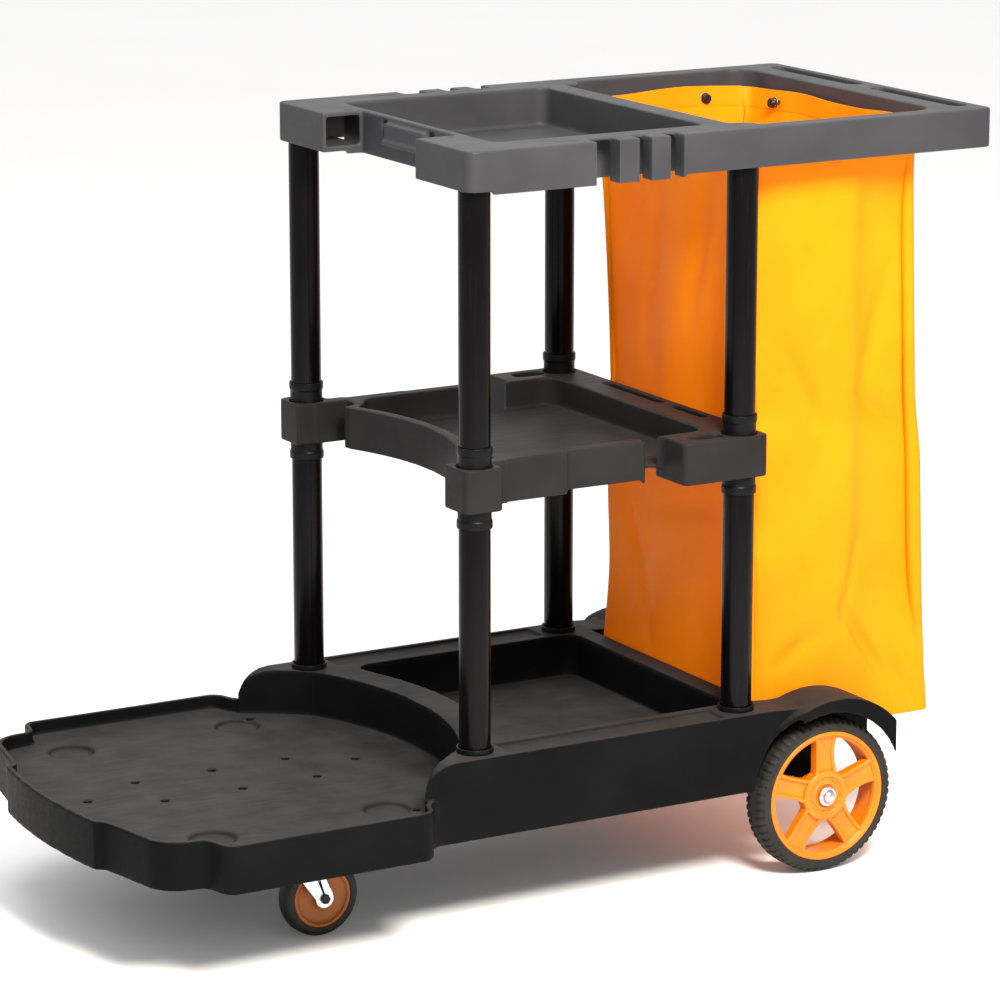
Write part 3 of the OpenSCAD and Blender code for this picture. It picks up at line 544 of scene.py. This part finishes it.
def makeRearWheel(side):
    s = sides[side]
    low, high = nodeBox(f"rear_tyre_{side}")
    centre = halfWay(low, high) * np.array([1, 0, 1])
    inner, face = sorted((abs(low[1]), abs(high[1])))
    rim = [[76, inner + 3], [84.9, inner + 3], [84.9, inner + 6], [82.9, inner + 8], [82.9, face - 6],
           [84.9, face - 4], [84.9, face - 1], [82.5, face + 0.2], [79.5, face - 0.6], [78.5, face - 3],
           [76, face - 4], [75.4, face - 9], [77, face - 14], [77, inner + 8]]
    hub = [[wheel["bore"], inner - 0.5], [wheel["core"], inner - 0.5], [wheel["core"], face - 24],
           [wheel["hub"], face - 18], [wheel["hub"], face - 3.2], [31.4, face - 1.4], [25, face - 1.4],
           [23.6, face - 3.6], [20.5, face - 3.6], [19, face - 2.2], [15, face - 2.2], [14.2, face - 3.2],
           [wheel["bore"], face - 3.2]]
    parts = [ring(onSide(rim, s), 1.2, centre, around=144), ring(onSide(hub, s), 0.9, centre, around=96)]
    for k in range(wheel["spokes"]):
        angle = math.radians(90 + 360 / wheel["spokes"] * k)
        parts.append(spokeSurface(angle, centre, face - wheel["spokeSunk"], s))
    body = f"rear_wheel_{side}"
    makePiece(f"rear_rim_{side}", joined(parts), "wheel_orange", body, (f"rear_wheel_{side}",), 30)
    middle, halfWide = (face + inner) / 2, (face - inner) / 2

    def rise(value, start, steepness):
        # 0 well below the start and 1 well above it
        return 1 / (1 + np.exp(-(value - start) * steepness))

    def lugs(r, y, angle):
        # the tread: blocks that stand out over both shoulders in turn, with a plain band in the middle
        across = (np.abs(y) - middle) / halfWide
        beat = np.cos(angle * wheel["lugs"] + np.sign(across) * np.pi / 2 + 1.1 * across)
        gap = rise(beat * 7, 2.4, 1)
        return r - wheel["lugDeep"] * gap * rise(np.abs(across), 0.22, 26) * rise(r, 95.5, 1.6)

    tread = np.linspace(-0.98, 0.98, 25)
    crown = [[wheel["tread"] - wheel["crown"] * abs(t) ** 4.5, middle + halfWide * 0.93 * t] for t in tread]
    wall = [[95.2, face - 0.7], [92.6, face], [90.2, face - 0.1], [89.4, face - 1.0], [88.2, face - 1.0],
            [87.4, face - 0.2], [85.6, face - 0.6], [85.0, face - 1.4], [85.0, face - 4], [83.0, face - 6]]
    backWall = [[r, inner + face - y] for r, y in wall[::-1]]
    profile = np.array(onSide(backWall + crown + wall, s))
    surface = turned(profile, centre, around=wheel["lugs"] * 9, shape=lugs)
    makePiece(f"rear_tread_{side}", surface, "rear_rubber", body, (f"rear_tyre_{side}",), 30)


for side in sides:
    makeRearWheel(side)
print("rear wheels done")


axle = {"hole": 6.1, "washer": 13, "washerThick": 2.2, "around": 64}


def makeAxle():
    low, high = nodeBox("rear_axle")
    centre = halfWay(low, high) * np.array([1, 0, 1])
    r = (high[0] - low[0]) / 2
    bar = [[0, low[1]], [r, low[1]], [r, high[1]], [0, high[1]]]
    makePiece("axle_bar", ring(bar, 1.0, centre, around=48), "zinc_steel", "root", ("rear_axle",))
    outer = nodeBox("axle_washers")[1][1]
    inner = outer - axle["washerThick"]
    washer = [[axle["hole"], outer], [axle["washer"], outer], [axle["washer"], inner], [axle["hole"], inner]]
    rings = [ring(onSide(washer, s), 0.5, centre, around=axle["around"]) for s in sides.values()]
    makePiece("axle_spacers", joined(rings), "zinc_steel", "root", ("axle_washers",))
    # the push cap's outline, from the top of its dome to its skirt: radius, and height above the skirt
    dome = [[0, 9.6], [2.5, 9.4], [5.5, 8.2], [7.6, 6.2], [8.4, 3.6], [9.4, 2.4], [11.2, 2.6], [12.9, 1.4],
            [12.9, 0], [axle["hole"], 0], [axle["hole"], 3], [0, 3]]
    for side, s in sides.items():
        low, high = nodeBox(f"axle_cap_{side}")
        foot = min(abs(low[1]), abs(high[1]))
        profile = roundedProfile(onSide([[r, foot + y] for r, y in dome], s), 0.7, 3)
        surface = turned(profile, centre, around=axle["around"])
        makePiece(f"axle_push_cap_{side}", surface, "zinc_steel", "root", (f"axle_cap_{side}",), 30)


makeAxle()
print("axle done")


caster = {"tyreRound": 3.0, "hubRound": 1.0, "around": 128}
# the rest of each caster keeps its node's shape with softer edges: its node, its name, its material,
# whether it swivels, and how far its edges are rounded
casterMetal = [
    ("fork", "yoke", "zinc_sheet", True, 0.9), ("bolt", "axle_bolt", "bolt_steel", True, 0.5),
    ("nut", "lock_nut", "zinc_steel", True, 0.5), ("plate", "top_plate", "zinc_sheet", False, 0.7),
    ("race", "ball_race", "zinc_sheet", False, 0.7), ("kingpin", "pivot_pin", "zinc_steel", False, 0.5),
    ("screws", "wood_screws", "zinc_steel", False, 0.4)]


def makeCaster(side):
    body = f"caster_wheel_{side}"
    low, high = nodeBox(f"caster_tyre_{side}")
    centre = halfWay(low, high)
    h = (high[1] - low[1]) / 2
    # the back half of the tyre and of the disc mirrors the front half: radius, and how far inside the
    # tyre's face
    tyre = [[37.1, 4], [38.6, 3], [38.6, 0.8], [44, 0], [48, 2.2], [50.8, 8]]
    disc = [[37, 4.2], [38.4, 3], [38.5, 1.2], [36.5, 0.4], [34.2, 1.0], [33.2, 3.4], [30, 5.0], [22, 6.2],
            [16, 5.6], [13, 3.4], [12, -2], [5.1, -2]]
    tyre, disc = ([[r, d - h] for r, d in half] + [[r, h - d] for r, d in half[::-1]]
                  for half in (tyre, disc))
    surface = ring(tyre, caster["tyreRound"], centre, around=caster["around"])
    makePiece(f"caster_rubber_{side}", surface, "caster_rubber", body, (f"caster_tyre_{side}",))
    surface = ring(disc, caster["hubRound"], centre, around=caster["around"])
    makePiece(f"caster_disc_{side}", surface, "caster_orange", body, (f"caster_wheel_{side}",), 30)
    for node, name, slot, swivels, edge in casterMetal:
        rides = f"caster_{side}" if swivels else "root"
        softenedCopy(f"caster_{node}_{side}", f"caster_{name}_{side}", slot, rides, edge)


for side in sides:
    makeCaster(side)
print("casters done")


# high and low are the mouth's and the floor's front, rear and half width; cap is how far the cloth
# may settle from where it is laid out, and flatWide is how far round the bag is
bag = {"top": 955, "bottom": 174, "high": (266, 537, 209), "low": (294, 572, 195), "highRound": 20,
       "lowRound": 13, "around": 216, "down": 120, "floorRings": 12, "floorSag": 9, "flatWide": 1290,
       "hem": 28, "hemGap": 0.9, "thick": 0.7, "cap": 3.0, "steps": 30, "growth": 0.01,
       "folds": 1.5, "creases": 1.5, "creaseReach": 60}
# the rim dips between its hooks and ripples in and out, and both fade out down the wall
bagRim = {"fade": 60, "dips": 6, "dip": 4.2, "turn": 0.9, "ripples": 14, "ripple": 1.6}
clothSettings = {"quality": 5, "mass": 0.35, "tension_stiffness": 30, "compression_stiffness": 30,
                 "shear_stiffness": 12, "bending_stiffness": 1.2, "tension_damping": 12,
                 "bending_damping": 1, "air_damping": 4, "shrink_min": -bag["growth"]}
# soft bends of the walls: the line runs from one point to another, and past it on the side given
# the wall falls back at the slope given, for the reach given
bagBends = [
    {"from": (434, -205, 960), "to": (443, -205, 300), "past": (1, 0, 0),
     "slope": 0.26, "reach": 26, "soft": 3},
    {"from": (434, -205, 960), "to": (443, -205, 250), "past": (-1, 0, 0),
     "slope": 0.08, "reach": 90, "soft": 5},
    {"from": (300, -205, 940), "to": (384, -205, 600), "past": (-1, 0, -0.2),
     "slope": 0.34, "reach": 46, "soft": 8},
    {"from": (384, -205, 600), "to": (372, -205, 420), "past": (-1, 0, 0),
     "slope": 0.14, "reach": 50, "soft": 12},
    {"from": (318, -205, 500), "to": (322, -205, 170), "past": (-1, 0, 0),
     "slope": 0.42, "reach": 24, "soft": 4},
    {"from": (285, 60, 900), "to": (290, 120, 500), "past": (0, 1, 0),
     "slope": 0.16, "reach": 40, "soft": 12},
    {"from": (285, -90, 930), "to": (290, -60, 560), "past": (0, -1, 0),
     "slope": 0.12, "reach": 40, "soft": 12},
    {"from": (545, -30, 900), "to": (560, 40, 240), "past": (0, 1, 0),
     "slope": 0.16, "reach": 70, "soft": 8},
    {"from": (400, 205, 900), "to": (430, 198, 240), "past": (1, 0, 0),
     "slope": 0.18, "reach": 70, "soft": 8},
]
# single creases: a narrow trough along a line, deepest at the middle of it
bagCreases = [
    {"from": (432, -205, 330), "to": (508, -205, 216), "deep": 8.0, "wide": 9},
    {"from": (458, -205, 420), "to": (430, -205, 300), "deep": 4.5, "wide": 8},
    {"from": (525, -205, 545), "to": (452, -205, 610), "deep": 5.0, "wide": 12},
    {"from": (500, -205, 760), "to": (462, -205, 620), "deep": 3.6, "wide": 14},
    {"from": (505, -205, 262), "to": (545, -205, 186), "deep": 4.5, "wide": 8},
    {"from": (335, -205, 214), "to": (470, -205, 190), "deep": 5.0, "wide": 9},
    {"from": (330, -205, 260), "to": (392, -205, 300), "deep": 3.6, "wide": 12},
    {"from": (350, -205, 660), "to": (398, -205, 560), "deep": 4.0, "wide": 10},
    {"from": (285, -110, 905), "to": (286, -60, 700), "deep": 5.5, "wide": 16},
    {"from": (285, 20, 880), "to": (286, 70, 640), "deep": 4.5, "wide": 20},
    {"from": (290, -150, 470), "to": (295, 40, 430), "deep": 4.0, "wide": 16},
    {"from": (292, 120, 420), "to": (296, 60, 240), "deep": 4.0, "wide": 14},
    {"from": (545, 60, 800), "to": (552, -40, 420), "deep": 5.5, "wide": 18},
    {"from": (550, -120, 620), "to": (556, -60, 260), "deep": 4.5, "wide": 16},
    {"from": (420, 205, 860), "to": (400, 198, 420), "deep": 5.5, "wide": 18},
]


def roundedRectangle(x0, x1, half, radius, count):
    # equal steps along a rectangle with round corners, from the middle of its front, near side first
    turn = np.radians(np.linspace(0, 90, 13))
    spots = []
    for cx, cy, start in ((x0, -half, 180), (x1, -half, 270), (x1, half, 0), (x0, half, 90)):
        middle = np.array([cx + (radius if cx == x0 else -radius), cy - math.copysign(radius, cy)])
        angle = turn + math.radians(start)
        spots.append(middle + radius * np.stack([np.cos(angle), np.sin(angle)], -1))
    line = np.concatenate([[[x0, 0]], *spots, [[x0, 0]]])
    along = np.concatenate([[0], np.cumsum(np.linalg.norm(np.diff(line, axis=0), axis=1))])
    at = np.linspace(0, along[-1], count, endpoint=False)
    return np.stack([np.interp(at, along, line[:, k]) for k in (0, 1)], -1), along[-1]


def bagWalls():
    # each row is a rounded rectangle between the top one and the bottom one
    rows = []
    for share in np.linspace(0, 1, bag["down"] + 1):
        x0, x1, half = (high + (low - high) * share for high, low in zip(bag["high"], bag["low"]))
        corner = bag["highRound"] + (bag["lowRound"] - bag["highRound"]) * share ** 1.5
        outline, _ = roundedRectangle(x0, x1, half, corner, bag["around"])
        rows.append(outline)
    plan = np.stack(rows)
    share = np.linspace(0, 1, bag["down"] + 1)[:, None]
    height = bag["top"] + (bag["bottom"] - bag["top"]) * share + np.zeros((1, bag["around"]))
    return np.concatenate([plan, height[..., None]], -1)


def facingBend(line, past, outward):
    # how squarely a wall faces the bend, which is at right angles to its line and to the side past it
    normal = np.cross(line, past)
    return np.clip(np.abs((outward * normal).sum(-1)), 0, 1)


def bendWalls(points, outward):
    # past a bend's line a wall falls back by its slope times the distance, which a hyperbolic tangent
    # levels off at its reach; a crease's depth is a bell curve of the distance from its line
    moved = points.copy()
    for bend in bagBends:
        a, b = np.array(bend["from"], float), np.array(bend["to"], float)
        line = (b - a) / np.linalg.norm(b - a)
        past = np.array(bend["past"], float)
        past = past - past @ line * line
        past /= np.linalg.norm(past)
        along = (points - a) @ line / np.linalg.norm(b - a)
        beyond = (points - a) @ past
        fade = np.clip((along + 0.15) / 0.3, 0, 1) * np.clip((1.15 - along) / 0.3, 0, 1)
        fade = fade * fade * (3 - 2 * fade)
        back = bend["soft"] * np.logaddexp(0, beyond / bend["soft"])
        back = bend["reach"] * np.tanh(back / bend["reach"])
        fallen = bag["folds"] * bend["slope"] * back * fade * facingBend(line, past, outward)
        moved -= outward * fallen[..., None]
    for crease in bagCreases:
        a, b = np.array(crease["from"], float), np.array(crease["to"], float)
        t = np.clip((points - a) @ (b - a) / ((b - a) @ (b - a)), 0, 1)
        away = points - a - t[..., None] * (b - a)
        lean = (away * outward).sum(-1)  # how far the wall has already bent from the crease's own line
        off = np.linalg.norm(away - lean[..., None] * outward, axis=-1)
        depth = bag["creases"] * crease["deep"] * np.exp(-(off / crease["wide"]) ** 2)
        depth *= np.sin(np.pi * (0.12 + 0.76 * t)) * (np.abs(lean) < bag["creaseReach"])
        moved -= outward * depth[..., None]
    return moved


def outwardOf(points):
    # the outward direction of a wall, from its neighbours round and down
    along = np.roll(points, -1, 1) - np.roll(points, 1, 1)
    down = np.gradient(points, axis=0)
    normal = np.cross(down, along)
    normal /= np.linalg.norm(normal, axis=-1, keepdims=True)
    middle = points.mean((0, 1))
    return normal * np.sign(((points - middle) * normal).sum(-1).mean())


def hangCloth(piece, held, start):
    # lets the cloth settle under its own weight, then limits how far each point has moved
    group = piece.vertex_groups.new(name="held")
    for weight in np.unique(held):
        group.add(np.flatnonzero(held == weight).tolist(), float(weight), "REPLACE")
    cloth = piece.modifiers.new("cloth", "CLOTH")
    for setting, value in clothSettings.items():
        setattr(cloth.settings, setting, value)
    cloth.settings.vertex_group_mass = "held"
    cloth.collision_settings.use_collision = False
    cloth.collision_settings.use_self_collision = False
    scene = bpy.context.scene
    for step in range(1, bag["steps"] + 1):
        scene.frame_set(step)
    settled = piece.evaluated_get(bpy.context.evaluated_depsgraph_get()).to_mesh()
    points = np.zeros(len(settled.vertices) * 3)
    settled.vertices.foreach_get("co", points)
    piece.modifiers.remove(cloth)
    piece.vertex_groups.remove(group)
    scene.frame_set(1)
    move = points.reshape(-1, 3) / mm - start
    far = np.linalg.norm(move, axis=1, keepdims=True)
    return start + move * np.tanh(far / bag["cap"]) / np.maximum(far / bag["cap"], 1e-9)


def makeBag():
    walls = bagWalls()
    outward = outwardOf(walls)
    walls = bendWalls(walls, outward)
    near = np.exp(-((bag["top"] - walls[..., 2]) / bagRim["fade"]) ** 2)
    angle = np.linspace(0, 2 * np.pi, bag["around"], endpoint=False)[None, :]
    dip = 0.5 + 0.5 * np.cos(angle * bagRim["dips"] + bagRim["turn"])
    ripple = 0.5 + 0.5 * np.sin(angle * bagRim["ripples"])
    walls[..., 2] -= bagRim["dip"] * near * dip
    walls -= outward * (bagRim["ripple"] * near * ripple)[..., None]
    # the floor: rings that shrink to a middle line and hang a little lower there
    last = walls[-1]
    middle = last.mean(0)
    t = np.linspace(0, 1, bag["floorRings"] + 1)[1:, None, None]
    floor = last[None] + (middle - last)[None] * t
    floor[..., 2] -= bag["floorSag"] * np.sin(np.pi / 2 * t[..., 0]) * np.ones((1, bag["around"]))
    points = np.concatenate([walls.reshape(-1, 3), floor.reshape(-1, 3)])
    rows = bag["down"] + 1 + bag["floorRings"]
    faces = gridQuads(rows, bag["around"], False, True)
    piece = meshObject("hanging_bag", points, faces, tidy=False)
    down = np.repeat(np.arange(rows), bag["around"])
    held = np.where(down < 3, 1.0, 0.0)
    settled = hangCloth(piece, held, points)
    piece.data.vertices.foreach_set("co", (settled * mm).ravel())
    points = settled
    layer = piece.data.uv_layers.new(name="cut")
    wide, tall = bag["flatWide"], bag["top"] - bag["bottom"]
    turn, fall = np.meshgrid(np.arange(bag["around"] + 1) / bag["around"], np.arange(rows) / bag["down"])
    i, j = faces[:, 0] // bag["around"], faces[:, 0] % bag["around"]
    corners = [(i, j), (i, j + 1), (i + 1, j + 1), (i + 1, j)]
    cut = np.stack([np.stack([turn[a, b] * wide, -fall[a, b] * tall], -1) for a, b in corners], 1) * mm
    layer.data.foreach_set("uv", cut.ravel())
    shaper = bmesh.new()
    shaper.from_mesh(piece.data)
    bmesh.ops.remove_doubles(shaper, verts=shaper.verts, dist=0.05 * mm)
    bmesh.ops.recalc_face_normals(shaper, faces=shaper.faces)
    shaper.to_mesh(piece.data)
    shaper.free()
    cloth = piece.modifiers.new("cloth_thickness", "SOLIDIFY")
    cloth.thickness, cloth.offset = bag["thick"] * mm, 0
    finishPiece(piece, "bag_vinyl", "root", ("bag",), 60)
    return piece, points[:(bag["down"] + 1) * bag["around"]].reshape(bag["down"] + 1, bag["around"], 3)


bagPiece, bagPoints = makeBag()
print("bag done")


def makeHem(walls):
    # a folded band sewn round the mouth, standing just off both faces of the cloth
    rows = int(round(bag["hem"] / (bag["top"] - bag["bottom"]) * bag["down"])) + 1
    band = walls[:rows]
    outward = outwardOf(walls)[:rows]
    outside, inside = band + outward * bag["hemGap"], band - outward * bag["hemGap"]
    loop = np.concatenate([outside[::-1], inside])
    points = loop.reshape(-1, 3)
    faces = gridQuads(len(loop), bag["around"], True, True)
    piece = meshObject("bag_hem", points, faces)
    layer = piece.data.uv_layers.new(name="cut")
    spots = np.zeros(len(piece.data.vertices) * 3)
    piece.data.vertices.foreach_get("co", spots)
    spots = spots.reshape(-1, 3)
    corner = np.zeros(len(piece.data.loops), np.int32)
    piece.data.loops.foreach_get("vertex_index", corner)
    cut = np.stack([spots[corner, 0] + spots[corner, 1], spots[corner, 2]], -1)
    layer.data.foreach_set("uv", cut.ravel())
    return finishPiece(piece, "bag_vinyl", "root", (), 60)


hem = makeHem(bagPoints)
softenedCopy("bag_hooks", "bag_knobs", "hook_plastic", "root", 0.9)
softenedCopy("bag_eyelets", "bag_grommets", "eyelet_metal", "root", 0.35)
print("bag fittings done")


# each lamp's place and target in metres, its size in metres, its power in watts and its tint
lamps = {"key": {"place": (-0.35, -2.2, 2.5), "target": (0.4, 0, 0.72), "size": (0.9, 0.8), "watts": 195,
                 "tint": "#fffaf0"},
         "top": {"place": (-0.3, 0.6, 3.4), "target": (-0.2, 0, 0.2), "size": (2.2, 2.0), "watts": 40,
                 "tint": "#ffffff"}}
stage = {"halfWide": 40.0, "cloudMm": 600, "dark": "#f4f3f3", "pale": "#f8f7f7",
         "sky": "#ffffff", "skyStrength": 1.0}


def areaLight(name, lamp):
    data = bpy.data.lights.new(name, "AREA")
    data.shape = "RECTANGLE"
    data.size, data.size_y = lamp["size"]
    data.energy, data.color = lamp["watts"], colour(lamp["tint"])[:3]
    light = bpy.data.objects.new(name, data)
    light.location = lamp["place"]
    light.rotation_mode = "QUATERNION"
    light.rotation_quaternion = (Vector(lamp["target"]) - light.location).to_track_quat("-Z", "Y")
    bpy.context.scene.collection.objects.link(light)


def makeStage():
    half = stage["halfWide"]
    grid = np.array([[-half, -half, 0], [half, -half, 0], [half, half, 0], [-half, half, 0]]) / mm
    floor = meshObject("floor", grid, np.array([[0, 1, 2, 3]]), tidy=False)
    material, tree = newMaterial("pale_floor")
    at = addNode(tree, "TexCoord").outputs["Object"]
    cloudy = noise(tree, at, stage["cloudMm"], 3.0)
    tone = blendColours(tree, cloudy, colour(stage["dark"]), colour(stage["pale"]))
    closeMaterial(tree, {"Base Color": tone, "Roughness": 0.75})
    floor.data.materials.append(material)
    world = bpy.data.worlds.new("studio")
    world.use_nodes = True
    sky = world.node_tree.nodes["Background"]
    sky.inputs["Color"].default_value = colour(stage["sky"])
    sky.inputs["Strength"].default_value = stage["skyStrength"]
    bpy.context.scene.world = world
    for name, lamp in lamps.items():
        areaLight(name, lamp)
    scene = bpy.context.scene
    scene.view_settings.view_transform = "Standard"
    scene.view_settings.look = "None"


makeStage()
print("stage done")
